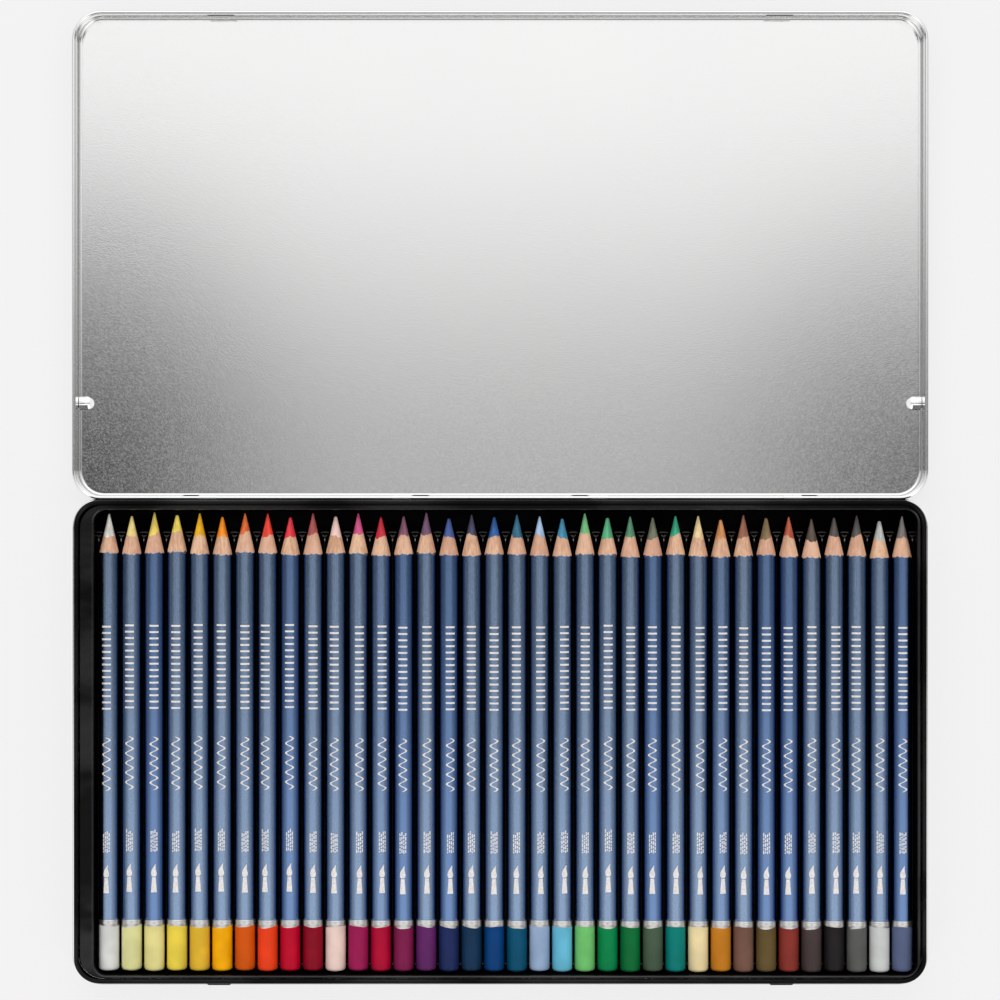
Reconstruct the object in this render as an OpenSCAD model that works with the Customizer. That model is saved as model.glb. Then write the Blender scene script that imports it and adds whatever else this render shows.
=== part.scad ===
// A flat hinged tin of coloured pencils, open and lying on a table.
// Frame: x across the pencils, y towards the hinge, z up. The origin is the centre of the tray's underside.
// The tray, insert and pencils are in place, and the lid lies open behind the tray with its inside up.
// The tin is sized from the inside out: pencils, insert, tray, lid.

/* [Pencils] */
// Number of pencils in the row
pencil_count = 36; // [4:1:36]
// Distance between neighbouring pencils
pencil_pitch = 8.57; // [8.4:0.01:9.5]
// Length of the longest pencil
pencil_len = 174; // [120:1:190]
// How much shorter the shortest barrel is than the longest
len_spread = 1.8; // [0:0.1:4]
// Diameter of the lacquered barrel
barrel_d = 7.4; // [6.6:0.1:7.5]
// Thickness of the dipped colour on the barrel's end
dip_wall = 0.2; // [0.1:0.05:0.25]
// Length of the dipped end
dip_len = 17.6; // [8:0.1:30]
// Height of the dipped end's dome
dip_dome = 1.4; // [0.6:0.1:2]
// Width of the foil ring next to the dipped end
ring_w = 2; // [1:0.1:4]
// Thickness of the foil ring
ring_wall = 0.08; // [0.05:0.01:0.15]
// Diameter of the coloured lead
lead_d = 3.9; // [2:0.1:5]
// Length of the longest sharpened cone
cone_len = 15.4; // [10:0.1:24]
// How much shorter the bluntest cone is than the longest
cone_spread = 1.6; // [0:0.1:4]
// Diameter of the blunt point
point_d = 0.5; // [0.2:0.1:1]
// Glue line between the wood and the lead, and under the dipped colour
glue = 0.02; // [0.01:0.01:0.05]

/* [Insert] */
// Thickness of the formed plastic sheet
insert_wall = 0.6; // [0.4:0.05:0.8]
// Clearance round a pencil in its groove
groove_gap = 0.2; // [0.1:0.05:0.3]
// Height of the sheet's underside below the grooves, above the table
bed_z = 3.3; // [2:0.1:4]
// Height of the ribs' tops below the pencils' axes
rib_drop = 1.8; // [1.6:0.1:2.4]
// How much lower the ribs are at their step by the points
rib_step = 0.8; // [0.4:0.1:1.2]
// Length of the ribs' low step
rib_step_len = 3; // [1:0.5:6]
// Free space beside the outer grooves
side_margin = 0.85; // [0.5:0.05:4]
// Clearance between a pencil's ends and the end walls, together
end_slack = 1.2; // [1:0.1:4]
// Length of the well under the points
point_well = 7.4; // [4:0.1:20]
// Length of the well under the dipped ends
dip_well = 2.7; // [1.5:0.1:10]
// Width of the flange on the left
flange_left = 5; // [1:0.1:8]
// Width of the flange on the right
flange_right = 1; // [1:0.1:8]
// Width of the flange at the front
flange_front = 1; // [1:0.1:8]
// Width of the flange at the hinge
flange_rear = 1.7; // [1:0.1:8]
// Radius of the bend between wall and flange
flange_bend = 0.8; // [0.7:0.05:0.95]
// Radius of the insert's inner corners
insert_r = 4.7; // [4:0.1:5.5]
// Radius of the flange's corners on the left
flange_r_left = 8.5; // [5:0.5:10]
// Radius of the flange's corners on the right
flange_r_right = 7; // [5:0.5:10]
// Height of the flange below the tray's rim
flange_drop = 0.6; // [0:0.1:2]

/* [Tin] */
// Thickness of the tinplate
sheet = 0.3; // [0.2:0.05:0.35]
// Height of the closed tin
closed_h = 16; // [15:0.5:24]
// Diameter of the tray's inward rolled rim
rim_d = 1.8; // [1.4:0.1:2.6]
// Clearance beside the insert's flange, left and right
insert_gap_x = 0.6; // [0.2:0.1:2]
// Clearance beside the insert's flange, front and hinge side
insert_gap_y = 0.25; // [0.2:0.05:2]
// Clearance between the tray's rim and the closed lid's panel
rim_gap = 1.5; // [1.5:0.1:3]
// Gap under the insert
foot_gap = 0.1; // [0.05:0.05:0.3]
// Outer radius of the tray's neck corners
neck_r = 9.5; // [9:0.5:20]
// Width of the shoulder that the closed lid lands on
shoulder = 1.6; // [1.3:0.1:3]
// Gap between the shoulder and the closed lid
shoulder_gap = 0.2; // [0.1:0.05:0.5]
// Radius of the bend between floor and wall
floor_bend = 1.2; // [0.5:0.1:2]
// Radius of the bend at the shoulder
shoulder_bend = 0.5; // [0.4:0.05:0.55]
// Radius of the bend between the lid's panel and skirt
lid_bend = 1.3; // [0.5:0.1:2]

/* [Hinge] */
// Diameter of the lid's outward rolled curl, which is the hinge rod
curl_d = 1.4; // [1.2:0.1:2]
// Clearance between the lid's skirt and the tray's neck
lid_gap = 0.15; // [0.1:0.05:0.3]
// Radial clearance between a lug and the curl
hinge_gap = 0.08; // [0.05:0.01:0.1]
// Gap between the open lid's skirt and the back of the tray
back_gap = 0.5; // [0.4:0.05:0.6]
// Width of a hinge lug
lug_w = 6.6; // [3:0.1:12]
// Width of the window in the skirt that a lug reaches through
window_w = 14.6; // [6:0.1:24]
// Clearance between a lug and the end of its window
window_gap = 0.5; // [0.3:0.1:1]
// Distance of the outer lugs from the middle
outer_lug_x = 110.6; // [90:0.1:125]
// Distance of the inner lugs from the middle
inner_lug_x = 37.4; // [20:0.1:60]
// How far a lug reaches round the curl past its top
lug_wrap = 130; // [95:1:150]

/* [Snaps and stops] */
// Distance of a snap from the middle
snap_x = 106; // [60:1:130]
// Width of a snap tab at its root
snap_w = 10; // [6:0.5:16]
// Height of a snap tab
snap_h = 2.8; // [2:0.1:3.5]
// How far a snap tab stands out of the neck
snap_out = 0.9; // [0.5:0.05:0.95]
// Slope of a snap's sides, as run over rise
snap_slope = 1.1; // [0.6:0.1:1.3]
// Clearance between a snap tab and its dimple
snap_gap = 0.15; // [0.1:0.05:0.2]
// Distance between the closed lid's curl and a dimple
snap_rise = 0.4; // [0.3:0.05:0.6]
// Distance of the stop bumps from the hinge
stop_y = 36; // [15:1:80]
// Width of a stop bump
stop_w = 5.3; // [3:0.1:8]
// Height of a stop bump above the panel
stop_h = 1.1; // [0.6:0.1:1.15]

/* [Hidden] */
$fn = 64;

// how far a cut reaches past the face that it starts from
past = 0.01;

// how far the pencils lie off the middle of their slack, from the first to the last, and their small scatter
lie_slope = 0.7;
lie_scatter = 0.12;

// pencils
barrel_r = barrel_d / 2;
dip_r = barrel_r + dip_wall;
lead_r = lead_d / 2;
point_r = point_d / 2;
dome_r = (dip_r ^ 2 + dip_dome ^ 2) / (2 * dip_dome);

// insert
groove_r = dip_r + groove_gap;
axis_z = bed_z + insert_wall + groove_r;
rib_z = axis_z - rib_drop;
well_w = pencil_count * pencil_pitch + 2 * side_margin;
well_d = pencil_len + end_slack;
insert_w = well_w + flange_left + flange_right;
insert_d = well_d + flange_front + flange_rear;
well_x = (flange_left - flange_right) / 2;
well_y = (flange_front - flange_rear) / 2;
well_front = well_y - well_d / 2;
well_rear = well_y + well_d / 2;
bed_front = well_front + dip_well;
bed_rear = well_rear - point_well;
foot_z = sheet + foot_gap;
flange_r_most = max(flange_r_left, flange_r_right);

// tray
rim_r = rim_d / 2;
neck_w = insert_w + 2 * (insert_gap_x + rim_d);
neck_d = insert_d + 2 * (insert_gap_y + rim_d);
rim_z = closed_h - sheet - rim_gap;
flange_z = rim_z - flange_drop;
curl_r = curl_d / 2;
hinge_z = closed_h / 2;
hinge_y = neck_d / 2 + lid_gap + curl_r;
shoulder_z = hinge_z - curl_r - shoulder_gap;
// the open lid's skirt hangs behind the hinge, so the tray's back is nearly flush with its neck
back_shoulder = lid_gap + curl_d - sheet - back_gap;
body_w = neck_w + 2 * shoulder;
body_d = neck_d + shoulder + back_shoulder;
body_y = (back_shoulder - shoulder) / 2;
body_r = neck_r + shoulder;

// lid, as it lies open
skirt_w = neck_w + 2 * (lid_gap + sheet);
skirt_d = neck_d + 2 * (lid_gap + sheet);
skirt_r = neck_r + lid_gap + sheet;
// the skirt's outer face on the hinge side lies a sheet inside the curl
lid_y = hinge_y + curl_r - sheet + skirt_d / 2;
window_drop = curl_r + hinge_gap + sheet + window_gap;
lug_out_r = curl_r + hinge_gap + sheet;
// height of a snap's middle on the closed tin
snap_z = hinge_z + curl_r + snap_gap + snap_h / 2 + snap_rise;
stop_r = (stop_w ^ 2 / 4 + stop_h ^ 2) / (2 * stop_h);

// the hinge units, left to right: the lug's x, and the side on which its window is open
HINGES = [[-outer_lug_x, -1], [-inner_lug_x, 1], [inner_lug_x, -1], [outer_lug_x, 1]];

// dipped and lead colours, left to right
COLOURS = [
    "white", "lightyellow", "palegoldenrod", "gold", "goldenrod", "orange",
    "chocolate", "orangered", "crimson", "maroon", "pink", "mediumvioletred",
    "firebrick", "purple", "indigo", "midnightblue", "darkslateblue", "mediumblue",
    "teal", "lightsteelblue", "skyblue", "lightgreen", "seagreen", "darkgreen",
    "darkolivegreen", "darkcyan", "navajowhite", "peru", "saddlebrown", "olive",
    "brown", "darkslategray", "black", "dimgray", "silver", "slategray"
];

function pencil_name(k) = str("pencil_", k < 9 ? "0" : "", k + 1);
function pencil_x(k) = well_x + (k - (pencil_count - 1) / 2) * pencil_pitch;
// each pencil has slid a little way along its groove
function pencil_lie(k) = lie_slope * (0.5 - k / pencil_count) + lie_scatter * sin(137 * k);
// the length of each pencil's cone, and that of the rest of it: no two are sharpened alike
function cone_share(k) = 0.5 + 0.5 * sin(151 * k);
function body_share(k) = 0.5 * k / pencil_count + 0.25 + 0.25 * sin(97 * k);
function pencil_cone(k) = cone_len - cone_spread * cone_share(k);
function pencil_body(k) = pencil_len - cone_len - len_spread * body_share(k);

// ---- shared forms ----

// A flat rectangle with round corners, centred on the origin.
module round_rect(w, d, r) {
    square([w - 2 * r, d], center = true);
    square([w, d - 2 * r], center = true);
    for (x = [-1, 1], y = [-1, 1])
        translate([x * (w / 2 - r), y * (d / 2 - r)]) circle(r);
}

// A flat ring between two such rectangles.
module rect_ring(outer, inner, thick) {
    linear_extrude(thick) difference() {
        translate(outer[3]) round_rect(outer[0], outer[1], outer[2]);
        translate(inner[3]) round_rect(inner[0], inner[1], inner[2]);
    }
}

// Sweeps a profile round a rectangle with round corners. In the profile, x is the distance out from the
// rectangle's line and y is the height.
module around(w, d, r) {
    for (side = [[0, w, d], [90, d, w], [180, w, d], [270, d, w]])
        rotate(side[0]) {
            translate([side[1] / 2, side[2] / 2 - r, 0])
                rotate([90, 0, 0]) linear_extrude(side[2] - 2 * r) children();
            translate([side[1] / 2 - r, side[2] / 2 - r, 0])
                rotate_extrude(angle = 90) translate([r, 0]) children();
        }
}

// A quarter of a bent sheet: the profile of a bend of outer radius r, in the quadrant towards (x, y).
module bend(r, thick, x, y) {
    intersection() {
        difference() {
            circle(r);
            circle(r - thick);
        }
        translate([x > 0 ? 0 : -r, y > 0 ? 0 : -r]) square(r);
    }
}

// The profile of a rolled edge.
module roll(r) {
    difference() {
        circle(r);
        circle(r - sheet);
    }
}

// A pressed tab with sloping sides: w by h at its root on the plane y = 0, standing out towards +y.
module pressed_tab(w, h, out) {
    run = out * snap_slope;
    intersection() {
        translate([0, 0, -h / 2]) linear_extrude(h)
            polygon([[-w / 2, 0], [w / 2, 0], [w / 2 - run, out], [run - w / 2, out]]);
        translate([-w / 2, 0, 0]) rotate([90, 0, 90]) linear_extrude(w)
            polygon([[0, -h / 2], [0, h / 2], [out, h / 2 - run / 2], [out, run / 2 - h / 2]]);
    }
}

// ---- tray ----

// A hook from the back of the neck over the lid's curl.
module hinge_lug() {
    translate([-lug_w / 2, 0, 0]) rotate([90, 0, 90]) linear_extrude(lug_w)
        difference() {
            circle(lug_out_r);
            circle(curl_r + hinge_gap);
            // open from the neck round the underside to the lug's lip
            polygon([
                [0, 0], [-2 * lug_out_r, 0], [-2 * lug_out_r, -2 * lug_out_r],
                [2 * lug_out_r * sin(lug_wrap), -2 * lug_out_r],
                2 * lug_out_r * [sin(lug_wrap), cos(lug_wrap)]
            ]);
        }
}

module tray_wall() {
    // floor
    translate([0, body_y, 0]) linear_extrude(sheet)
        round_rect(body_w - 2 * floor_bend, body_d - 2 * floor_bend, body_r - floor_bend);
    // outer wall, from the floor's bend to the shoulder's
    translate([0, body_y, 0]) around(body_w, body_d, body_r) {
        translate([-floor_bend, floor_bend]) bend(floor_bend, sheet, 1, -1);
        translate([-sheet, floor_bend]) square([sheet, shoulder_z - floor_bend - shoulder_bend]);
        translate([-shoulder_bend, shoulder_z - shoulder_bend]) bend(shoulder_bend, sheet, 1, 1);
    }
    // shoulder
    translate([0, 0, shoulder_z - sheet]) rect_ring(
        [body_w - 2 * shoulder_bend, body_d - 2 * shoulder_bend, body_r - shoulder_bend, [0, body_y]],
        [neck_w - 2 * sheet, neck_d - 2 * sheet, neck_r - sheet, [0, 0]],
        sheet
    );
    // neck and rolled rim
    around(neck_w, neck_d, neck_r) {
        translate([-sheet, shoulder_z - sheet]) square([sheet, rim_z - rim_r - shoulder_z + sheet]);
        translate([-rim_r, rim_z - rim_r]) roll(rim_r);
    }
}

module tray_shell() {
    color("dimgray") {
        difference() {
            union() {
                tray_wall();
                for (x = [-snap_x, snap_x])
                    translate([x, -neck_d / 2, snap_z]) rotate(180) pressed_tab(snap_w, snap_h, snap_out);
            }
            // the tabs are pressed out of the neck, so they are hollow behind
            for (x = [-snap_x, snap_x])
                translate([x, sheet - neck_d / 2 + past, snap_z]) rotate(180)
                    pressed_tab(snap_w - 2 * sheet, snap_h - 2 * sheet, snap_out);
        }
        for (hinge = HINGES)
            translate([hinge[0], hinge_y, hinge_z]) hinge_lug();
    }
}

// ---- lid ----

// The window round one lug, with the lug near one end of it.
module hinge_window(hinge) {
    near = lug_w / 2 + window_gap;
    x0 = hinge[1] < 0 ? near - window_w : -near;
    translate([hinge[0] + x0, hinge_y, hinge_z - window_drop])
        cube([window_w, curl_d, window_drop + 1]);
}

// A pressed bump on the panel against the left skirt, with round end towards +x.
module stop_bump(r) {
    translate([0, 0, sheet + stop_h - stop_r]) {
        rotate([0, 90, 0]) cylinder(r = r, h = stop_w / 2);
        translate([stop_w / 2, 0, 0]) sphere(r);
    }
}

module lid_sheet() {
    translate([0, lid_y, 0]) {
        linear_extrude(sheet)
            round_rect(skirt_w - 2 * lid_bend, skirt_d - 2 * lid_bend, skirt_r - lid_bend);
        around(skirt_w, skirt_d, skirt_r) {
            translate([-lid_bend, lid_bend]) bend(lid_bend, sheet, 1, -1);
            translate([-sheet, lid_bend]) square([sheet, hinge_z - lid_bend]);
        }
    }
}

module lid_shell() {
    dimple = [snap_w + 2 * snap_gap, snap_h + 2 * snap_gap, snap_out - lid_gap + snap_gap];
    far_y = lid_y + skirt_d / 2 - sheet;
    bump_y = hinge_y + stop_y;
    color("silver") {
        difference() {
            union() {
                lid_sheet();
                for (x = [-snap_x, snap_x])
                    translate([x, far_y, closed_h - snap_z])
                        pressed_tab(dimple[0] + 2 * sheet, dimple[1] + 2 * sheet, dimple[2] + sheet);
                for (side = [-1, 1])
                    intersection() {
                        translate([side * (skirt_w / 2 - sheet), bump_y, 0]) rotate(side < 0 ? 0 : 180)
                            stop_bump(stop_r);
                        translate([-neck_w / 2, bump_y - stop_w, sheet / 2])
                            cube([neck_w, 2 * stop_w, 2 * stop_h]);
                    }
            }
            for (x = [-snap_x, snap_x])
                translate([x, far_y - past, closed_h - snap_z]) pressed_tab(dimple[0], dimple[1], dimple[2]);
            for (side = [-1, 1])
                translate([side * (skirt_w / 2 - lid_bend), bump_y, 0]) rotate(side < 0 ? 0 : 180)
                    stop_bump(stop_r - sheet);
            for (hinge = HINGES)
                hinge_window(hinge);
        }
        translate([0, lid_y, 0]) around(skirt_w, skirt_d, skirt_r)
            translate([curl_r - sheet, hinge_z]) roll(curl_r);
    }
}

// ---- insert ----

// The profile of all grooves, as circles round the pencils' axes.
module groove_row(r) {
    for (k = [0:pencil_count - 1])
        translate([pencil_x(k), axis_z]) circle(r);
}

// Extrudes a profile in x and z from y0 to y1.
module along_y(y0, y1) {
    translate([0, y1, 0]) rotate([90, 0, 0]) linear_extrude(y1 - y0) children();
}

// A band across the whole well, between two heights.
module well_band(z0, z1) {
    translate([well_x - well_w / 2, z0]) square([well_w, z1 - z0]);
}

// The corrugated sheet of the bed, with ribs up to the height top.
module bed_sheet(y0, y1, top) {
    along_y(y0, y1) difference() {
        union() {
            intersection() {
                groove_row(groove_r + insert_wall);
                well_band(0, top);
            }
            well_band(top - insert_wall, top);
        }
        groove_row(groove_r);
    }
}

// A wall across the bed, cut by the grooves.
module bed_wall(y0, y1, bottom, top) {
    along_y(y0, y1) difference() {
        well_band(bottom, top);
        groove_row(groove_r);
    }
}

// The flange's outline, rounder on the left. All of the insert lies within it, so that it lifts out past the
// tray's rim.
module flange_outline() {
    intersection() {
        translate([flange_r_most, 0]) round_rect(insert_w + 2 * flange_r_most, insert_d, flange_r_left);
        translate([-flange_r_most, 0]) round_rect(insert_w + 2 * flange_r_most, insert_d, flange_r_right);
    }
}

module insert_tray() {
    well = [well_w, well_d, insert_r, [well_x, well_y]];
    outside = [well_w + 2 * insert_wall, well_d + 2 * insert_wall, insert_r + insert_wall, [well_x, well_y]];
    step_y = bed_rear - rib_step_len;
    low_z = rib_z - rib_step;
    color([0.12, 0.12, 0.12]) {
        // side walls, bend and flange
        intersection() {
            union() {
                translate([0, 0, foot_z]) rect_ring(outside, well, flange_z - flange_bend - foot_z);
                translate([well_x, well_y, 0]) around(well_w, well_d, insert_r)
                    translate([flange_bend, flange_z - flange_bend]) bend(flange_bend, insert_wall, -1, 1);
            }
            linear_extrude(flange_z) flange_outline();
        }
        translate([0, 0, flange_z - insert_wall]) linear_extrude(insert_wall) difference() {
            flange_outline();
            translate([well_x, well_y])
                round_rect(well_w + 2 * flange_bend, well_d + 2 * flange_bend, insert_r + flange_bend);
        }
        // bed: ribs, their low step by the points, and the walls down to the wells
        bed_sheet(bed_front, step_y, rib_z);
        bed_sheet(step_y, bed_rear, low_z);
        bed_wall(bed_front, bed_front + insert_wall, foot_z, rib_z);
        bed_wall(step_y - insert_wall, step_y, low_z - insert_wall, rib_z);
        bed_wall(bed_rear - insert_wall, bed_rear, foot_z, low_z);
        // well floors
        translate([0, 0, foot_z]) linear_extrude(insert_wall) intersection() {
            translate([well_x, well_y]) round_rect(well_w, well_d, insert_r);
            translate([well_x, well_y]) difference() {
                square([well_w, well_d], center = true);
                translate([-well_w, bed_front - well_y]) square([2 * well_w, bed_rear - bed_front]);
            }
        }
    }
}

// ---- pencils ----

// One pencil along +z, from the dome of its dipped end to its point.
module pencil_form(colour, body, cone) {
    end_z = body + cone;
    // where the lead's colour ends and the wood begins
    lead_z = end_z - cone * (lead_r - point_r) / (barrel_r - point_r);
    core_z = dip_dome + glue;
    // barrel, with the bore for the lead
    color("steelblue") rotate_extrude() polygon([
        [lead_r, core_z], [barrel_r, core_z], [barrel_r, body], [lead_r, lead_z]
    ]);
    // foil ring, pressed onto the barrel
    color("silver") rotate_extrude() translate([lead_r, dip_len + glue])
        square([barrel_r - lead_r + ring_wall, ring_w]);
    // lead
    color(colour) rotate_extrude() polygon([
        [0, core_z], [lead_r - glue, core_z], [lead_r - glue, lead_z], [point_r, end_z], [0, end_z]
    ]);
    // dipped end
    color(colour) rotate_extrude() {
        intersection() {
            square([dip_r, dip_dome]);
            translate([0, dome_r]) circle(dome_r);
        }
        translate([barrel_r + glue, dip_dome]) square([dip_wall - glue, dip_len - dip_dome]);
    }
}

module pencil(k) {
    translate([pencil_x(k), well_y + pencil_lie(k) - pencil_len / 2, axis_z])
        rotate([-90, 0, 0]) pencil_form(COLOURS[k], pencil_body(k), pencil_cone(k));
}

tray_shell();
lid_shell();
insert_tray();
for (k = [0:pencil_count - 1])
    pencil(k);
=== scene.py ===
import math
import random

import bpy
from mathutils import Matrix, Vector

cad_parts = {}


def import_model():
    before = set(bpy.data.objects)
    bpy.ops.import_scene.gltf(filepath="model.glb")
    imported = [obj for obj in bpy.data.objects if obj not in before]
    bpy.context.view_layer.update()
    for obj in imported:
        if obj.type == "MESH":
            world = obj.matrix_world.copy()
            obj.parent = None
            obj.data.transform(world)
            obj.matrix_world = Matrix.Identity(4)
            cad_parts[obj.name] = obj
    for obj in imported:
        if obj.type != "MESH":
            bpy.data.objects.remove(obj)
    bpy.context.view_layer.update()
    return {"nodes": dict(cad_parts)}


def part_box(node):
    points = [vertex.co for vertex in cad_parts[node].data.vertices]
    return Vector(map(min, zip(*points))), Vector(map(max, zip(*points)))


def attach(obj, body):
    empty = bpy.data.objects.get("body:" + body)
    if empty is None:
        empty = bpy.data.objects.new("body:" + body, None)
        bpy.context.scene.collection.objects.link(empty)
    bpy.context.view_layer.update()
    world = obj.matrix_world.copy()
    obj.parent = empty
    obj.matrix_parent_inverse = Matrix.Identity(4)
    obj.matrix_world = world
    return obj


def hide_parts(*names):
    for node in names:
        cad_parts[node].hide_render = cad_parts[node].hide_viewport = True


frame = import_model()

# A flat hinged tin of 36 pencils, lying open, seen from above. Lengths are in metres, in the CAD's frame.
MM = 0.001
nodes = frame["nodes"]
coll = bpy.context.scene.collection

# The photograph's viewpoint, straight above the hinge, and half its picture's width at a distance of 1.
EYE = (-0.1 * MM, 91.0 * MM, 1.0)
HALF_VIEW = 0.19073

# The studio's light, where 1 is white. A pair of numbers is what the left and the right side have.
GAP_MIDDLE, GAP_EDGE, GAP_FAR, GAP_FADE = 0.42, (0.01, 0.10), 0.35, 0.22
CORNER_DIP, STRIP_DIP = (0.48, 0.18), 0.92
SIDE_NEAR, SIDE_FAR, END_LEVEL, FRONT_LEVEL, LOW_LEVEL = 1.22, 0.50, 1.42, 1.22, 0.45
BACKDROP, FLOOR_GLOW = 0.904, 0.73

# Places on the tin, as in the CAD: the neck's outline, the ledge behind it, the hinge's lugs and the open
# slots beside them.
NECK_HALF_W, NECK_HALF_D, NECK_R = 160.51 * MM, 91.0 * MM, 9.5 * MM
SHOULDER_TOP, LEDGE_Y, LEDGE_Z = 7.3 * MM, 90.9 * MM, 6.95 * MM
LUG_X, LUG_HALF_W, LUG_Y, LUG_TOP = (37.4 * MM, 110.6 * MM), 3.4 * MM, 91.03 * MM, 9.6 * MM
SLOT_X, SLOT_Y = (30.35 * MM, 117.65 * MM), 92.75 * MM
SKIN = 0.05 * MM

# Places in the insert, as in the CAD: the pencils' pitch, the bed between its ends, the ribs and their low
# step, the heights over which the grooves' painted shade fades out, and the bend round the bed.
COUNT, PITCH, MIDDLE_X = 36, 8.57 * MM, 2.0 * MM
BED_FRONT, STEP_Y, BED_REAR = -85.25 * MM, 76.85 * MM, 79.85 * MM
RIB_Z, STEP_Z = 6.2 * MM, 5.4 * MM
DEEP_Z, SHALLOW_Z = 6.8 * MM, 11.0 * MM
BEND_LOW, BEND_TOP = 13.0 * MM, 13.58 * MM

# Sizes of a pencil, as in the CAD, but for the dip, which is 0.08 mm less in radius here, and the ball that
# its flat dome is cut from.
BARREL_R, DIP_R, LEAD_R, POINT_R = 3.7 * MM, 3.82 * MM, 1.95 * MM, 0.25 * MM
DIP_LEN, RING_W, DOME, DOME_BALL = 17.6 * MM, 2.0 * MM, 1.4 * MM, 8.0 * MM
CONE_LONG, CONE_SPREAD = 15.4 * MM, 1.6 * MM
SEGS = 48

# The printed marks: where each starts, from the dipped end, and their sizes.
PRINT_R = BARREL_R + 0.016 * MM
BARS_AT, WAVE_AT, DASHES_AT, BRUSH_AT = 99.3 * MM, 68.7 * MM, 45.4 * MM, 30.1 * MM
BARS, BAR_STEP, BAR_LONG, BAR_HALF = 14, 2.38 * MM, 0.68 * MM, 1.75 * MM
WAVE_LONG, WAVE_HIGH, WAVE_BENDS, WAVE_HALF = 20.0 * MM, 1.35 * MM, 11, 0.40 * MM
DASHES_LONG, DASH_W, DASH_PITCH, DASH_GAP = 7.2 * MM, 0.42 * MM, 0.72 * MM, 0.4 * MM
HANDLE_LONG, HANDLE_HALF, HEAD_HALF = 5.7 * MM, 1.08 * MM, 1.05 * MM

# The brush's head: millimetres past the handle, millimetres to the side, and share of its width.
HEAD = [
    (0.25, 0.0, 0.60), (0.9, 0.0, 0.95), (1.6, 0.0, 1.0), (2.4, -0.04, 0.84),
    (3.2, 0.06, 0.58), (4.0, 0.30, 0.32), (4.9, 0.62, 0.05),
]

# Each pencil's colour, left to right: its dipped end and its lead, as they look on screen.
COLOURS = [
    ("white", (0.84, 0.84, 0.83), (0.86, 0.85, 0.81)),
    ("pale_yellow", (0.86, 0.85, 0.60), (0.88, 0.80, 0.50)),
    ("straw", (0.87, 0.83, 0.55), (0.88, 0.78, 0.36)),
    ("lemon", (0.90, 0.80, 0.28), (0.95, 0.84, 0.35)),
    ("golden", (0.88, 0.70, 0.19), (0.96, 0.70, 0.04)),
    ("saffron", (0.95, 0.66, 0.00), (0.97, 0.54, 0.03)),
    ("orange", (0.79, 0.32, 0.03), (0.86, 0.40, 0.17)),
    ("vermilion", (0.92, 0.25, 0.09), (0.91, 0.25, 0.18)),
    ("crimson", (0.74, 0.01, 0.16), (0.90, 0.20, 0.25)),
    ("madder", (0.53, 0.02, 0.12), (0.68, 0.32, 0.30)),
    ("flesh", (0.89, 0.78, 0.74), (0.88, 0.74, 0.70)),
    ("fuchsia", (0.60, 0.09, 0.31), (0.78, 0.30, 0.49)),
    ("carmine", (0.67, 0.02, 0.19), (0.80, 0.15, 0.22)),
    ("mauve", (0.48, 0.10, 0.28), (0.48, 0.30, 0.38)),
    ("violet", (0.37, 0.14, 0.38), (0.43, 0.31, 0.41)),
    ("ultramarine", (0.11, 0.16, 0.34), (0.25, 0.33, 0.58)),
    ("indigo", (0.07, 0.19, 0.31), (0.26, 0.26, 0.36)),
    ("prussian", (0.01, 0.23, 0.45), (0.14, 0.34, 0.60)),
    ("petrol", (0.01, 0.30, 0.42), (0.18, 0.41, 0.52)),
    ("lavender", (0.57, 0.66, 0.78), (0.63, 0.74, 0.86)),
    ("sky", (0.39, 0.71, 0.82), (0.25, 0.55, 0.68)),
    ("may_green", (0.42, 0.73, 0.41), (0.47, 0.76, 0.51)),
    ("green", (0.00, 0.49, 0.27), (0.33, 0.67, 0.49)),
    ("fir", (0.02, 0.41, 0.20), (0.33, 0.56, 0.43)),
    ("grey_green", (0.27, 0.34, 0.27), (0.41, 0.42, 0.35)),
    ("viridian", (0.01, 0.47, 0.44), (0.17, 0.62, 0.48)),
    ("naples", (0.92, 0.84, 0.64), (0.94, 0.83, 0.62)),
    ("ochre", (0.75, 0.47, 0.11), (0.84, 0.57, 0.35)),
    ("umber", (0.45, 0.32, 0.27), (0.60, 0.39, 0.30)),
    ("olive", (0.38, 0.31, 0.18), (0.52, 0.43, 0.29)),
    ("sienna", (0.51, 0.19, 0.16), (0.71, 0.34, 0.24)),
    ("sepia", (0.27, 0.22, 0.22), (0.33, 0.28, 0.24)),
    ("black", (0.12, 0.11, 0.11), (0.31, 0.28, 0.27)),
    ("dark_grey", (0.35, 0.35, 0.34), (0.31, 0.30, 0.29)),
    ("silver", (0.77, 0.78, 0.77), (0.75, 0.76, 0.74)),
    ("blue_grey", (0.33, 0.37, 0.49), (0.49, 0.46, 0.45)),
]


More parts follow.
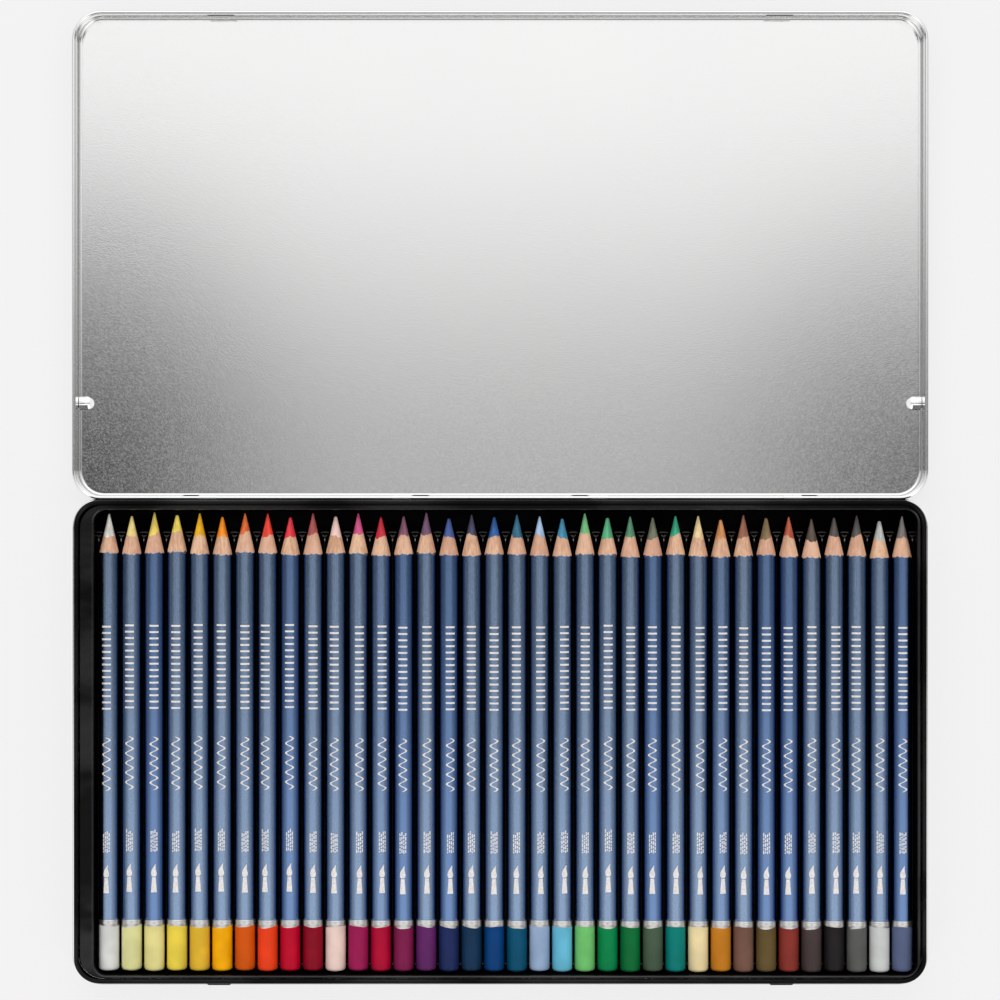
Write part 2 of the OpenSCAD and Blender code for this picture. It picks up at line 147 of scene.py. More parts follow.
# ---------------------------------------------------------------- shader helpers
class Mat:
    """A material made of nodes. Each method adds one kind of node and returns its output."""

    def __init__(self, name):
        self.m = bpy.data.materials.new(name)
        self.m.use_nodes = True
        self.t = self.m.node_tree
        self.b = self.t.nodes["Principled BSDF"]

    def n(self, kind, **sockets):
        """Add a node. A key with p_ in front is a property, i and a number is that input, others are names."""
        node = self.t.nodes.new(kind)
        for key, value in sockets.items():
            if key.startswith("p_"):
                setattr(node, key[2:], value)
        for key, value in sockets.items():
            if not key.startswith("p_"):
                socket = int(key[1:]) if key[1:].isdigit() else key.replace("_", " ")
                self.put(node.inputs[socket], value)
        return node

    def put(self, socket, value):
        if isinstance(value, bpy.types.NodeSocket):
            self.t.links.new(value, socket)
        else:
            socket.default_value = value

    def set(self, **sockets):
        """Set the surface's own inputs. Returns the material."""
        for key, value in sockets.items():
            self.put(self.b.inputs[key.replace("_", " ")], value)
        return self.m

    def math(self, op, a, b=0.0):
        return self.n("ShaderNodeMath", p_operation=op, i0=a, i1=b).outputs[0]

    def add(self, a, b):
        return self.math("ADD", a, b)

    def less(self, a, b):
        return self.math("SUBTRACT", a, b)

    def times(self, a, b):
        return self.math("MULTIPLY", a, b)

    def above(self, a, b):
        return self.math("GREATER_THAN", a, b)

    def below(self, a, b):
        return self.math("LESS_THAN", a, b)

    def off(self, value, places):
        """How far the value is from the nearer of two places."""
        one, two = (self.math("ABSOLUTE", self.less(value, at)) for at in places)
        return self.math("MINIMUM", one, two)

    def ramp(self, value, low, high, out_low=0.0, out_high=1.0):
        node = self.n(
            "ShaderNodeMapRange", p_interpolation_type="SMOOTHSTEP",
            Value=value, From_Min=low, From_Max=high, To_Min=out_low, To_Max=out_high,
        )
        return node.outputs[0]

    def mix(self, factor, a, b):
        node = self.n("ShaderNodeMix", p_data_type="RGBA", i0=factor, i6=a, i7=b)
        return node.outputs[2]

    def noise(self, scale, detail=2.0, rough=0.5, stretch=None):
        place = self.where()
        if stretch is not None:
            place = self.n("ShaderNodeMapping", Vector=place, Scale=stretch).outputs[0]
        node = self.n("ShaderNodeTexNoise", Scale=scale, Detail=detail, Roughness=rough, Vector=place)
        return node.outputs["Fac"]

    def where(self):
        """The point on the piece, in the row frame at rest, in metres."""
        if not hasattr(self, "_where"):
            self._where = self.n("ShaderNodeTexCoord").outputs["Object"]
        return self._where

    def axes(self):
        if not hasattr(self, "_axes"):
            self._axes = self.n("ShaderNodeSeparateXYZ", Vector=self.where())
        return self._axes.outputs

    def per_pencil(self, seed):
        """A steady chance value, 0 to 1, that is the same all over one pencil."""
        place = self.times(self.less(self.axes()[0], MIDDLE_X - COUNT / 2 * PITCH), 1 / PITCH)
        number = self.add(self.math("FLOOR", place), seed)
        return self.n("ShaderNodeTexWhiteNoise", p_noise_dimensions="1D", W=number).outputs["Value"]

    def bump(self, height, strength, distance):
        return self.n("ShaderNodeBump", Strength=strength, Distance=distance, Height=height).outputs[0]


def lin(r, g, b):
    """A colour given as it looks on screen, 0 to 1, as the linear colour that a shader takes."""
    return tuple(v / 12.92 if v <= 0.04045 else ((v + 0.055) / 1.055) ** 2.4 for v in (r, g, b)) + (1.0,)


# ---------------------------------------------------------------- camera, light, floor
def camera():
    cam = bpy.data.cameras.new("camera")
    cam.sensor_fit = "HORIZONTAL"
    cam.sensor_width = 36.0
    cam.lens = 18.0 / HALF_VIEW
    cam.clip_start = 0.05
    cam.clip_end = 30.0
    obj = bpy.data.objects.new("camera", cam)
    obj.location = EYE
    coll.objects.link(obj)
    bpy.context.scene.camera = obj


def world():
    """Two long soft boxes in front and behind with a dim gap between them right overhead, a dark strip in
    front, and a pale backdrop low down all round. The light is a function of the direction (dx, dy, dz)."""
    w = bpy.data.worlds.new("studio")
    bpy.context.scene.world = w
    w.use_nodes = True
    t = w.node_tree
    t.nodes.clear()

    def n(kind, inputs=(), **props):
        node = t.nodes.new(kind)
        for k, v in props.items():
            setattr(node, k, v)
        for i, v in enumerate(inputs):
            if isinstance(v, bpy.types.NodeSocket):
                t.links.new(v, node.inputs[i])
            else:
                node.inputs[i].default_value = v
        return node.outputs[0]

    def add(a, b):
        return n("ShaderNodeMath", (a, b), operation="ADD")

    def less(a, b):
        return n("ShaderNodeMath", (a, b), operation="SUBTRACT")

    def times(a, b):
        return n("ShaderNodeMath", (a, b), operation="MULTIPLY")

    def size(a):
        return n("ShaderNodeMath", (a,), operation="ABSOLUTE")

    def larger(a, b):
        return n("ShaderNodeMath", (a, b), operation="MAXIMUM")

    def ramp(v, low, high, out_low, out_high):
        return n("ShaderNodeMapRange", (v, low, high, out_low, out_high), interpolation_type="SMOOTHSTEP")

    def sides(pair):
        """The left number for directions to the left, the right one for those to the right."""
        return ramp(dx, -0.02, 0.02, *pair)

    sep = t.nodes.new("ShaderNodeSeparateXYZ")
    t.links.new(t.nodes.new("ShaderNodeTexCoord").outputs["Generated"], sep.inputs[0])
    dx, dy, dz = sep.outputs[0], sep.outputs[1], sep.outputs[2]
    ax, ay, front = size(dx), size(dy), times(dy, -1.0)
    boxes = larger(ramp(front, 0.035, 0.125, 0.0, 1.0), ramp(dy, -0.004, 0.156, 0.0, 1.0))
    # the gap: brightest in the middle, dark on both sides of it, more so on the left, and dim farther out
    edge = sides(GAP_EDGE)
    gap = add(GAP_MIDDLE, times(less(edge, GAP_MIDDLE), ramp(ax, 0.065, 0.165, 0.0, 1.0)))
    gap = add(gap, times(less(GAP_FAR, edge), ramp(ax, 0.17, 0.30, 0.0, 1.0)))
    gap = less(gap, ramp(ax, 0.30, 0.68, 0.0, GAP_FADE))
    light = add(gap, times(less(1.0, gap), boxes))
    # the rear box is weaker towards its near corners, the left one most
    corner = times(ramp(ax, 0.07, 0.16, 0.0, 1.0), ramp(ax, 0.17, 0.30, 1.0, 0.0))
    corner = times(corner, times(ramp(dy, -0.05, 0.0, 0.0, 1.0), ramp(dy, 0.08, 0.15, 1.0, 0.0)))
    light = times(light, less(1.0, times(corner, sides(CORNER_DIP))))
    # brighter to the front and towards both ends, weaker far out to the sides
    light = times(light, ramp(ax, 0.30, 1.05, SIDE_NEAR, SIDE_FAR))
    light = times(light, ramp(ay, 0.30, 0.60, 1.0, END_LEVEL))
    light = times(light, ramp(front, 0.05, 0.10, 1.0, FRONT_LEVEL))
    # a dark upright strip in front, halfway up, which the lid's far wall and its bend mirror
    strip = times(ramp(dy, -0.40, -0.26, 1.0, 0.0), ramp(dy, -0.96, -0.92, 0.0, 1.0))
    light = times(light, less(1.0, times(strip, ramp(ax, 0.16, 0.42, STRIP_DIP, 0.0))))
    light = times(light, ramp(dz, 0.0, 0.40, LOW_LEVEL, 1.0))
    low = ramp(dz, 0.10, 0.24, 1.0, 0.0)
    level = add(times(light, less(1.0, low)), times(BACKDROP, low))
    back = t.nodes.new("ShaderNodeBackground")
    t.links.new(level, back.inputs["Strength"])
    back.inputs["Color"].default_value = (1.0, 1.0, 1.0, 1.0)
    out = t.nodes.new("ShaderNodeOutputWorld")
    t.links.new(back.outputs[0], out.inputs["Surface"])


def floor():
    """A wide pale sheet just under the tin."""
    me = bpy.data.meshes.new("floor")
    s = 6.0
    me.from_pydata([(-s, -s, 0), (s, -s, 0), (s, s, 0), (-s, s, 0)], [], [(0, 1, 2, 3)])
    obj = bpy.data.objects.new("floor", me)
    obj.location = (0, 0, -0.15 * MM)
    coll.objects.link(obj)
    m = Mat("floor_paper")
    colour = m.mix(m.noise(900.0, 3.0), lin(0.42, 0.42, 0.42), lin(0.44, 0.44, 0.44))
    rays = m.n("ShaderNodeLightPath")
    seen = m.math("MAXIMUM", rays.outputs["Is Camera Ray"], rays.outputs["Is Glossy Ray"])
    seen = m.math("MAXIMUM", seen, rays.outputs["Is Transmission Ray"])
    me.materials.append(m.set(
        Base_Color=colour, Roughness=0.9, Specular_IOR_Level=0.0,
        Emission_Color=(1.0, 1.0, 1.0, 1.0), Emission_Strength=m.times(seen, FLOOR_GLOW),
    ))


# ---------------------------------------------------------------- mesh helpers
def obj_from(name, verts, faces, body, material):
    me = bpy.data.meshes.new(name)
    me.from_pydata(verts, [], faces)
    me.materials.append(material)
    me.polygons.foreach_set("use_smooth", [True] * len(me.polygons))
    me.validate()
    me.update()
    obj = bpy.data.objects.new(name, me)
    coll.objects.link(obj)
    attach(obj, body)
    return obj


def skin(rows, segs):
    """The faces between rows of points, with segs points round each."""
    faces = []
    for j in range(rows - 1):
        for i in range(segs):
            k = (i + 1) % segs
            faces.append((j * segs + i, j * segs + k, (j + 1) * segs + k, (j + 1) * segs + i))
    return faces


def lathe(rings, segs, close_start=False, close_end=False):
    """Rings of (t, r), each a number or a function of the angle, swept round +y. Returns verts, faces."""
    verts = []
    for t, r in rings:
        for i in range(segs):
            a = 2 * math.pi * i / segs
            tt = t(a) if callable(t) else t
            rr = r(a) if callable(r) else r
            verts.append((rr * math.sin(a), tt, rr * math.cos(a)))
    faces = skin(len(rings), segs)
    if close_start:
        faces.append(tuple(range(segs - 1, -1, -1)))
    if close_end:
        last = (len(rings) - 1) * segs
        faces.append(tuple(last + i for i in range(segs)))
    return verts, faces


def tube(points, r, segs=8):
    """A thin round bar along the points, ending in blunt tips. Returns verts, faces."""
    verts = []
    last = len(points) - 1
    for j, p in enumerate(points):
        ahead = (Vector(points[min(last, j + 1)]) - Vector(points[max(0, j - 1)])).normalized()
        side = ahead.cross(Vector((0, 0, 1))).normalized()
        up = side.cross(ahead)
        rr = r * (0.4 if j in (0, last) else 1.0)
        for i in range(segs):
            a = 2 * math.pi * i / segs
            verts.append(tuple(Vector(p) + side * (rr * math.cos(a)) + up * (rr * math.sin(a))))
    faces = skin(len(points), segs)
    faces.append(tuple(range(segs)))
    faces.append(tuple(last * segs + i for i in range(segs - 1, -1, -1)))
    return verts, faces


def join_meshes(parts):
    verts, faces = [], []
    for v, f in parts:
        n = len(verts)
        verts += v
        faces += [tuple(i + n for i in q) for q in f]
    return verts, faces


def waves(rng, parts):
    """A sum of waves round a circle: parts are (waves in a turn, height)."""
    terms = [(k, h * rng.uniform(0.6, 1.2), rng.uniform(0, 2 * math.pi)) for k, h in parts]
    return lambda a: sum(h * math.sin(k * a + p) for k, h, p in terms)


# ---------------------------------------------------------------- materials of the tin
def tin_finish(m):
    """Bare tinplate with its fine stone grain. Returns its colour, roughness and normal."""
    fine = m.noise(2600.0, 2.0, 0.6)
    coarse = m.noise(1300.0, 2.0, 0.6)
    cloud = m.noise(11.0, 3.0, 0.5)
    grain = m.add(m.times(fine, 0.6), m.times(coarse, 0.4))
    tone = m.add(m.times(grain, 0.8), m.times(cloud, 0.2))
    colour = m.mix(m.ramp(tone, 0.36, 0.64), lin(0.87, 0.87, 0.87), lin(0.89, 0.89, 0.885))
    return colour, m.ramp(coarse, 0.3, 0.7, 0.08, 0.14), m.bump(grain, 0.8, 0.016 * MM)


def patches(m, dull, shiny):
    """A shine that comes and goes in long soft patches, as on lacquer that has been handled."""
    return m.ramp(m.noise(45.0, 3.0, 0.5, stretch=(0.4, 1.0, 1.0)), 0.42, 0.60, dull, shiny)


def lid_metal():
    """Tinplate, with painted shade: near black in the four slots where the hinge windows open beside the lugs.
    """
    m = Mat("tinplate")
    colour, rough, normal = tin_finish(m)
    x, y, z = m.axes()
    along = m.ramp(m.off(m.math("ABSOLUTE", x), SLOT_X), 2.4 * MM, 3.75 * MM, 1.0, 0.0)
    across = m.ramp(m.math("ABSOLUTE", m.less(y, SLOT_Y)), 0.16 * MM, 0.34 * MM, 1.0, 0.0)
    # painted shade: the four slots are coloured near black, standing in for the dark gaps of the hinge windows
    colour = m.mix(m.times(along, across), colour, lin(0.04, 0.04, 0.04))
    return m.set(Base_Color=colour, Metallic=1.0, Roughness=rough, Normal=normal)


def tray_metal():
    """Black lacquer on the neck, the rim and the inside, bare tinplate on the body's outside and the lugs."""
    m = Mat("lacquered_tinplate")
    x, y, z = m.axes()
    ax, ay = m.math("ABSOLUTE", x), m.math("ABSOLUTE", y)
    # distance outside the neck's rounded outline
    qx, qy = m.less(ax, NECK_HALF_W - NECK_R), m.less(ay, NECK_HALF_D - NECK_R)
    ox, oy = m.math("MAXIMUM", qx, 0.0), m.math("MAXIMUM", qy, 0.0)
    far = m.math("SQRT", m.add(m.times(ox, ox), m.times(oy, oy)))
    near = m.math("MINIMUM", m.math("MAXIMUM", qx, qy), 0.0)
    outside = m.above(m.less(m.add(far, near), NECK_R), SKIN)
    body = m.times(outside, m.below(z, SHOULDER_TOP))
    lug = m.times(m.above(y, LUG_Y), m.below(z, LUG_TOP))
    bare = m.math("MAXIMUM", m.math("MAXIMUM", body, lug), m.below(z, SKIN))
    # the ledge behind the neck stays black, except where the four lugs rise from it
    ledge = m.times(m.above(y, LEDGE_Y), m.above(z, LEDGE_Z))
    ledge = m.times(ledge, m.above(m.off(ax, LUG_X), LUG_HALF_W))
    bare = m.times(bare, m.less(1.0, ledge))
    colour, rough, normal = tin_finish(m)
    scuff = m.ramp(m.noise(60.0, 5.0, 0.6), 0.55, 0.75)
    black = m.mix(scuff, lin(0.04, 0.037, 0.035), lin(0.07, 0.065, 0.06))
    return m.set(
        Base_Color=m.mix(bare, black, colour),
        Metallic=bare,
        Roughness=m.add(m.times(rough, bare), m.times(0.20, m.less(1.0, bare))),
        Normal=normal,
        Specular_IOR_Level=patches(m, 0.04, 0.18),
    )


def insert_plastic():
    """Thin black sheet, formed hot: slightly wavy and worn shiny on its flange, dull down in the grooves, where
    its colour turns near black with depth as painted shade.
    """
    m = Mat("formed_plastic")
    z = m.axes()[2]
    grain = m.noise(2400.0, 2.0)
    swell = m.noise(35.0, 3.0)
    colour = m.mix(m.ramp(swell, 0.35, 0.65), lin(0.03, 0.028, 0.028), lin(0.05, 0.047, 0.045))
    # the bend round the bed shines, the flange reflects in patches and the grooves hardly at all
    bend = m.times(m.above(z, BEND_LOW), m.below(z, BEND_TOP))
    shine = m.add(patches(m, 0.06, 0.30), m.times(bend, 0.28))
    # painted shade: the colour turns near black with depth down in the grooves, and the shine fades there too
    return m.set(
        Base_Color=m.mix(m.ramp(z, DEEP_Z, SHALLOW_Z), lin(0.012, 0.012, 0.012), colour),
        Roughness=m.ramp(grain, 0.3, 0.7, 0.20, 0.28),
        Normal=m.bump(m.add(m.times(grain, 0.02), swell), 0.5, 0.8 * MM),
        Specular_IOR_Level=m.times(shine, m.ramp(z, DEEP_Z, SHALLOW_Z, 0.05, 1.0)),
    )


def painted_highlight_edge(name, highlight_grey):
    """The tight bends of the bed, where the stretched sheet is shiny, coloured grey as a painted highlight."""
    m = Mat(name)
    wear = m.noise(420.0, 3.0, 0.6)
    # painted highlight: the grey colour stands in for the light caught on the bends
    colour = m.mix(m.ramp(wear, 0.35, 0.65), lin(*(0.7 * v for v in highlight_grey)), lin(*highlight_grey))
    normal = m.bump(wear, 0.2, 0.03 * MM)
    return m.set(Base_Color=colour, Roughness=0.35, Normal=normal, Specular_IOR_Level=0.6)


# ---------------------------------------------------------------- materials of the pencils
def barrel_lacquer():
    """Metallic blue: steel blue where it faces the light, navy towards its sides."""
    m = Mat("blue_lacquer")
    flakes = m.noise(2400.0, 3.0, 0.7)
    pull = m.noise(260.0, 2.0, 0.5, stretch=(1.0, 0.05, 1.0))
    colour = m.mix(m.ramp(flakes, 0.34, 0.66), lin(0.455, 0.535, 0.650), lin(0.525, 0.605, 0.715))
    # no two barrels took the same coat: some are a cleaner, deeper blue
    colour = m.mix(m.ramp(m.per_pencil(3.5), 0.80, 0.90, 0.0, 0.8), colour, lin(0.38, 0.49, 0.67))
    return m.set(
        Base_Color=colour,
        Metallic=1.0,
        Roughness=m.ramp(flakes, 0.3, 0.7, 0.17, 0.24),
        Normal=m.bump(m.add(m.times(flakes, 0.25), pull), 0.10, 0.03 * MM),
        Specular_Tint=(0.10, 0.22, 0.75, 1.0),
    )


def cedar():
    """Sharpened wood, with its fibres along the pencil."""
    m = Mat("cedar")
    fibres = m.noise(1300.0, 3.0, 0.6, stretch=(1.0, 0.06, 1.0))
    rings = m.noise(160.0, 2.0, 0.5, stretch=(1.0, 0.05, 1.0))
    tone = m.add(m.times(fibres, 0.5), m.times(rings, 0.5))
    colour = m.mix(m.ramp(tone, 0.38, 0.62), lin(0.76, 0.57, 0.455), lin(0.90, 0.745, 0.61))
    # each pencil is cut from its own slat, some pinker and some paler
    colour = m.mix(m.times(m.per_pencil(9.5), 0.5), colour, lin(0.83, 0.635, 0.55))
    normal = m.bump(fibres, 0.35, 0.08 * MM)
    return m.set(Base_Color=colour, Roughness=0.62, Normal=normal, Specular_IOR_Level=0.3)


def foil():
    """The silver ring."""
    m = Mat("silver_foil")
    grain = m.noise(1500.0, 3.0, 0.6)
    colour = m.mix(grain, lin(0.78, 0.77, 0.76), lin(0.84, 0.83, 0.82))
    return m.set(Base_Color=colour, Metallic=0.95, Roughness=0.30, Normal=m.bump(grain, 0.02, 0.01 * MM))


def print_foil():
    """The printed marks: pale foil, a little rubbed."""
    m = Mat("printed_foil")
    wear = m.noise(1300.0, 4.0, 0.7)
    colour = m.mix(m.ramp(wear, 0.32, 0.6), lin(0.80, 0.78, 0.77), lin(0.90, 0.88, 0.87))
    rough = m.ramp(wear, 0.3, 0.7, 0.35, 0.5)
    return m.set(Base_Color=colour, Metallic=0.15, Roughness=rough, Normal=m.bump(wear, 0.2, 0.02 * MM))


def dip_paint(name, rgb):
    """The paint of a dipped end."""
    m = Mat("dip_" + name)
    flow = m.noise(90.0, 2.0, 0.5)
    deep = tuple(v * 0.93 for v in rgb)
    colour = m.mix(m.ramp(flow, 0.35, 0.65), lin(*deep), lin(*rgb))
    rough, normal = m.ramp(flow, 0.3, 0.7, 0.30, 0.36), m.bump(flow, 0.08, 0.2 * MM)
    return m.set(Base_Color=colour, Roughness=rough, Normal=normal, Specular_IOR_Level=0.10)


def lead(name, rgb):
    """A sharpened lead, with the sharpener's marks along it."""
    m = Mat("lead_" + name)
    cut = m.noise(700.0, 4.0, 0.6, stretch=(1.0, 0.10, 1.0))
    pale = tuple(min(1.0, v * 1.06 + 0.02) for v in rgb)
    deep = tuple(v * 0.90 for v in rgb)
    colour = m.mix(m.ramp(cut, 0.36, 0.64), lin(*deep), lin(*pale))
    normal = m.bump(cut, 0.4, 0.08 * MM)
    return m.set(Base_Color=colour, Roughness=0.5, Normal=normal, Specular_IOR_Level=0.35)


# ---------------------------------------------------------------- pencils
def place(verts, axis_x, y0, axis_z, turn):
    c, s = math.cos(turn), math.sin(turn)
    return [(axis_x + x * c - z * s, y0 + y, axis_z + x * s + z * c) for x, y, z in verts]


def dip_rings(edge):
    """The dipped end: a shallow dome, its rounded shoulder, and a soft edge that laps over the foil ring."""
    rings = [(0.0, 0.001 * MM)]
    for share in (0.2, 0.4, 0.55, 0.68, 0.78):
        r = DIP_R * share
        rings.append((DOME_BALL - math.sqrt(DOME_BALL * DOME_BALL - r * r), r))
    t1, r1 = rings[-1]
    for i in range(1, 6):
        u = i / 5 * math.pi / 2
        rings.append((t1 + (DOME + 0.3 * MM - t1) * (1 - math.cos(u)), r1 + (DIP_R - r1) * math.sin(u)))
    rings += [(t * MM, DIP_R) for t in (5, 10, 14.5)]
    rings.append((lambda a: edge(a) - 0.30 * MM, DIP_R - 0.01 * MM))
    rings.append((lambda a: edge(a) - 0.06 * MM, DIP_R - 0.05 * MM))
    rings.append((edge, BARREL_R + 0.05 * MM))
    return rings


def foil_rings():
    """The foil ring with two rolled lines, running on under the dipped colour."""
    top = DIP_LEN + RING_W
    flat, line = BARREL_R + 0.085 * MM, BARREL_R + 0.03 * MM
    rings = [(15.5 * MM, line), (15.6 * MM, flat)]
    for groove in (1.22 * MM, 0.50 * MM):
        rings += [(top - groove - 0.12 * MM, flat), (top - groove, line), (top - groove + 0.12 * MM, flat)]
    return rings + [(top - 0.03 * MM, flat), (top, BARREL_R)]


def barrel_rings(brim, cone_r):
    """The lacquered barrel, from under the foil ring to the scalloped edge that sharpening leaves."""
    rings = [(DIP_LEN + RING_W - 0.4 * MM, BARREL_R)] + [(t * MM, BARREL_R) for t in (40, 70, 100, 130, 155)]
    rings.append((lambda a: brim(a) - 0.30 * MM, BARREL_R))
    rings.append((lambda a: brim(a) - 0.05 * MM, lambda a: min(BARREL_R, cone_r(brim(a)) + 0.10 * MM)))
    rings.append((brim, lambda a: min(BARREL_R - 0.03 * MM, cone_r(brim(a)) + 0.02 * MM)))
    return rings


def wood_rings(brim, join, cone_r, grain):
    """The cut cedar, from inside the barrel to the wavy edge of the lead."""
    steps = 8

    def t(a, u):
        return brim(a) - 0.1 * MM + (join(a) - brim(a) + 0.1 * MM) * u

    def r(a, u):
        return min(BARREL_R - 0.06 * MM, cone_r(t(a, u)) - 0.015 * MM) + grain(a) * math.sin(math.pi * u)

    def back_r(a):
        return min(BARREL_R - 0.08 * MM, cone_r(brim(a) - 0.6 * MM) - 0.02 * MM)

    rings = [(lambda a: brim(a) - 0.6 * MM, back_r)]
    for u in (i / steps for i in range(steps + 1)):
        rings.append((lambda a, u=u: t(a, u), lambda a, u=u: r(a, u)))
    return rings


def lead_rings(join, cone_r, length):
    """The lead, from inside the wood to its blunt point."""
    steps = 7

    def t(a, u):
        return join(a) - 0.05 * MM + (length - 0.35 * MM - join(a)) * u

    rings = [(lambda a: join(a) - 0.4 * MM, lambda a: cone_r(join(a) - 0.4 * MM) - 0.10 * MM)]
    for u in (i / steps for i in range(steps + 1)):
        rings.append((lambda a, u=u: t(a, u), lambda a, u=u: cone_r(t(a, u)) - 0.01 * MM))
    end_r = cone_r(length - 0.40 * MM)
    rings += [(length - 0.22 * MM, end_r * 0.86), (length - 0.07 * MM, end_r * 0.55), (length, 0.02 * MM)]
    return rings


def pencil(k, mats):
    """One pencil in its groove, along +y from its dipped end, each turned and sharpened a little differently."""
    name = "pencil_%02d" % (k + 1)
    colour_slot = "colour_%02d" % (k + 1)
    low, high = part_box(name)
    at = ((low.x + high.x) / 2, low.y, (low.z + high.z) / 2)
    length = high.y - low.y
    rng = random.Random(1000 + k)
    turn = rng.uniform(-0.16, 0.16)
    # how far it was sharpened down, in the CAD's own order
    worn = 0.5 + 0.5 * math.sin(math.radians(151 * k))
    cone = CONE_LONG - CONE_SPREAD * worn
    cone_0 = length - cone
    point_r = POINT_R + 0.28 * MM * worn ** 3
    lead_r = LEAD_R + rng.uniform(0.0, 0.3) * MM
    lap = waves(rng, [(1, 0.40 * MM), (2, 0.15 * MM), (5, 0.05 * MM)])
    scallop = waves(rng, [(2, 0.14 * MM), (5, 0.16 * MM), (9, 0.13 * MM), (14, 0.10 * MM), (27, 0.05 * MM)])
    ragged = waves(rng, [(1, 0.75 * MM), (3, 0.28 * MM), (7, 0.15 * MM), (12, 0.10 * MM)])
    grain = waves(rng, [(11, 0.02 * MM), (17, 0.02 * MM)])
    lead_t = cone_0 + cone * (BARREL_R - lead_r) / (BARREL_R - point_r)

    def cone_r(t):
        """Radius of the sharpened cone at the distance t from the dipped end."""
        return BARREL_R + (point_r - BARREL_R) * (t - cone_0) / cone

    def edge(a):
        """Where the dipped colour ends, in a slow wave round the pencil."""
        return DIP_LEN - 0.10 * MM + lap(a) - 0.25 * MM * math.cos(a)

    def brim(a):
        """Where the lacquer ends."""
        return cone_0 - 0.05 * MM + scallop(a)

    def join(a):
        """Where the wood ends and the lead begins."""
        return lead_t + ragged(a)

    def piece(part, rings, segs, slot, material, **ends):
        verts, faces = lathe(rings, segs, **ends)
        return obj_from(name + "_" + part, place(verts, *at, turn), faces, name, material)

    piece("dip", dip_rings(edge), SEGS, colour_slot, mats["dip"][k], close_start=True)
    piece("ring", foil_rings(), SEGS, "foil", mats["foil"])
    barrel = piece("barrel", barrel_rings(brim, cone_r), SEGS * 2, "barrel_lacquer", mats["barrel"])
    piece("wood", wood_rings(brim, join, cone_r, grain), SEGS * 2, "cedar", mats["cedar"])
    piece("lead", lead_rings(join, cone_r, length), SEGS * 2, colour_slot, mats["lead"][k], close_end=True)
    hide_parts(name)
    marks(k, name, at, turn, rng, mats)


# ---------------------------------------------------------------- printed marks
def strip_on_barrel(outline_rows, r):
    """Rows of (t, a0, a1): a thin print on the barrel, from angle a0 to a1 at t. Returns verts, faces."""
    verts, faces = [], []
    cols = 3 + int(max(a1 - a0 for _, a0, a1 in outline_rows) / 0.11)
    for t, a0, a1 in outline_rows:
        for c in range(cols):
            a = a0 + (a1 - a0) * c / (cols - 1)
            verts.append((r * math.sin(a), t, r * math.cos(a)))
    for j in range(len(outline_rows) - 1):
        for c in range(cols - 1):
            p = j * cols + c
            faces.append((p, p + 1, p + cols + 1, p + cols))
    return verts, faces


def marks(k, name, at, turn, rng, mats):
    """Generic foil marks where a pencil has its print: bars in a row, a wave, fine dashes and a small brush."""
    lean = rng.uniform(-0.10, 0.14)
    slip = rng.uniform(-0.5, 0.5) * MM
    parts = []

    def cell(t0, t1, x0, x1):
        a0, a1 = lean + x0 / BARREL_R, lean + x1 / BARREL_R
        parts.append(strip_on_barrel([(t0, a0, a1), (t1, a0, a1)], PRINT_R))

    def stroke(points, half):
        rows = [(t, lean + (x - w * half) / BARREL_R, lean + (x + w * half) / BARREL_R) for t, x, w in points]
        parts.append(strip_on_barrel(rows, PRINT_R))

    for i in range(BARS):
        y = BARS_AT + slip + i * BAR_STEP
        cell(y, y + BAR_LONG, -BAR_HALF, BAR_HALF)

    t = WAVE_AT + slip
    wave = [(i / 88, math.sin(i / 88 * WAVE_BENDS * math.pi)) for i in range(89)]
    stroke([(t + WAVE_LONG * u, WAVE_HIGH * swing, 1.0) for u, swing in wave], WAVE_HALF)

    t = DASHES_AT + slip
    for row in range(4):
        x = row * DASH_PITCH - 1.25 * MM
        y = t + (row % 2) * 0.3 * MM
        while y < t + DASHES_LONG:
            step = (0.6 + 0.4 * ((row * 7 + int(y / MM) + k) % 3)) * MM
            cell(y, y + step, x, x + DASH_W)
            y += step + DASH_GAP

    t = BRUSH_AT + slip
    stroke([(t + HANDLE_LONG * i / 6, 0, 1.0 - 0.38 * i / 6) for i in range(7)], HANDLE_HALF)
    stroke([(t + HANDLE_LONG + a * MM, b * MM, c) for a, b, c in HEAD], HEAD_HALF)
    verts, faces = join_meshes(parts)
    obj_from(name + "_print", place(verts, *at, turn), faces, name, mats["print"])
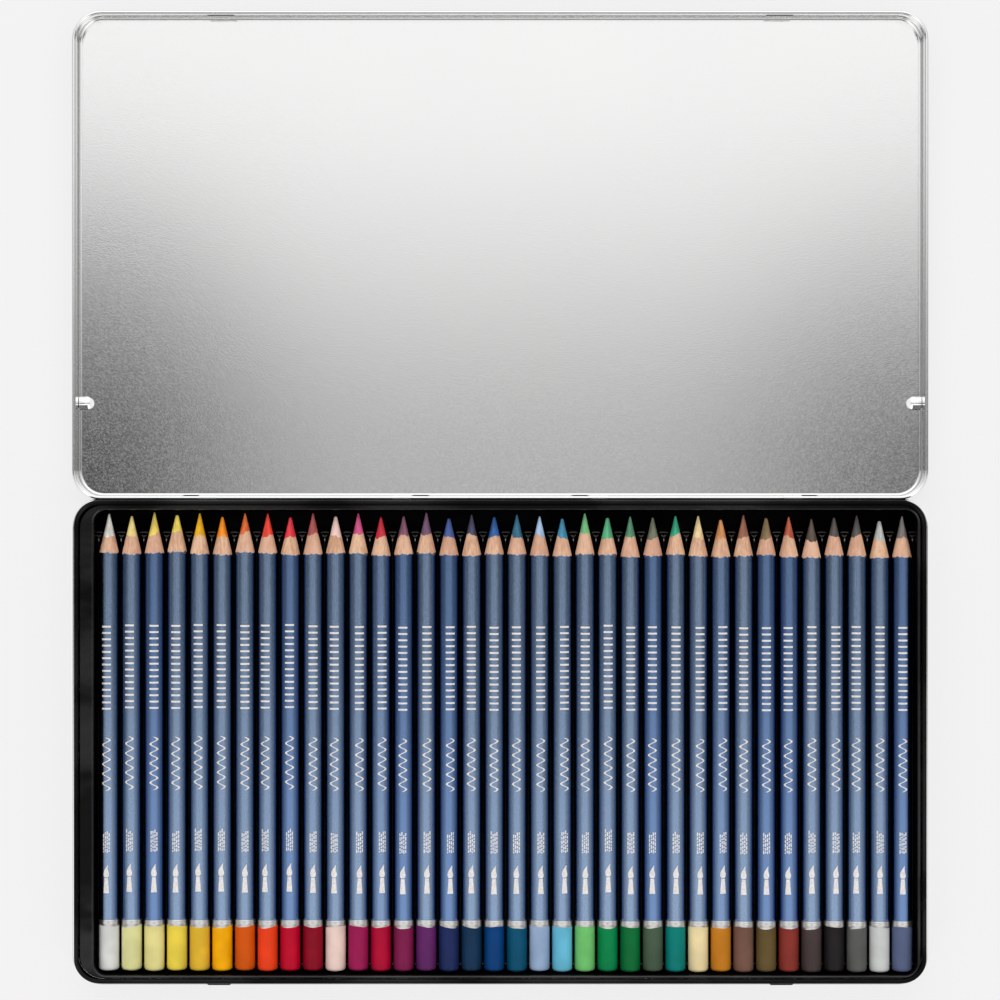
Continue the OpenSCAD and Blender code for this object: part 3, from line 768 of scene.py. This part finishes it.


# ---------------------------------------------------------------- the insert's shiny edges, with painted highlights
def bed_edges():
    """Between the pencils: the lip of the low step, the rounded drop onto it, and each rib's crest and ends, all
    coloured grey as painted highlights.
    """
    lips, crests, ends = [], [], []
    across = [i / 6 - 1 for i in range(13)]
    for i in range(COUNT + 1):
        x = MIDDLE_X + (i - COUNT / 2) * PITCH
        lip = [(x + 1.60 * MM * u, BED_REAR - (1.05 + 0.30 * u ** 4) * MM, STEP_Z) for u in across]
        lips.append(tube(lip, 0.18 * MM))
        for wide, back in ((1.0, 0.95), (0.65, 0.55)):
            drop = [(wide * MM * u, (back - 0.45 * (1 - u * u)) * MM) for u in across]
            lips.append(tube([(x + dx, STEP_Y + dy, STEP_Z + 0.1 * MM) for dx, dy in drop], 0.16 * MM))
        crests.append(tube([(x, BED_FRONT + 0.4 * MM, RIB_Z), (x, STEP_Y - 1.2 * MM, RIB_Z)], 0.10 * MM, 6))
        ends.append(tube([(x, STEP_Y - t * MM, RIB_Z) for t in (1.5, 1.1, 0.7, 0.4)], 0.20 * MM))
        ends.append(tube([(x, BED_FRONT + t * MM, RIB_Z) for t in (0.2, 0.35, 0.5, 0.65)], 0.20 * MM))
    # painted highlights: greys for the light bar on the lips, the faint line on the crests and the bright glint
    # dots at the rib ends
    highlight_greys = {"lips": (0.26, 0.255, 0.24), "crests": (0.10, 0.085, 0.07), "ends": (0.66, 0.65, 0.62)}
    for part, forms in (("lips", lips), ("crests", crests), ("ends", ends)):
        verts, faces = join_meshes(forms)
        material = painted_highlight_edge("formed_" + part, highlight_greys[part])
        obj_from("insert_" + part, verts, faces, "insert", material)


# ---------------------------------------------------------------- build
def dress(node, material):
    """Give a CAD node one finish all over."""
    me = nodes[node].data
    for i in range(len(me.materials)):
        me.materials[i] = material


camera()
world()
floor()
dress("lid_shell", lid_metal())
dress("tray_shell", tray_metal())
dress("insert_tray", insert_plastic())
shared = {
    "barrel": barrel_lacquer(),
    "cedar": cedar(),
    "foil": foil(),
    "print": print_foil(),
    "dip": [dip_paint(name, dip_rgb) for name, dip_rgb, lead_rgb in COLOURS],
    "lead": [lead(name, lead_rgb) for name, dip_rgb, lead_rgb in COLOURS],
}
bed_edges()
for k in range(COUNT):
    pencil(k, shared)

scene = bpy.context.scene
scene.view_settings.view_transform = "Standard"
bpy.context.view_layer.update()
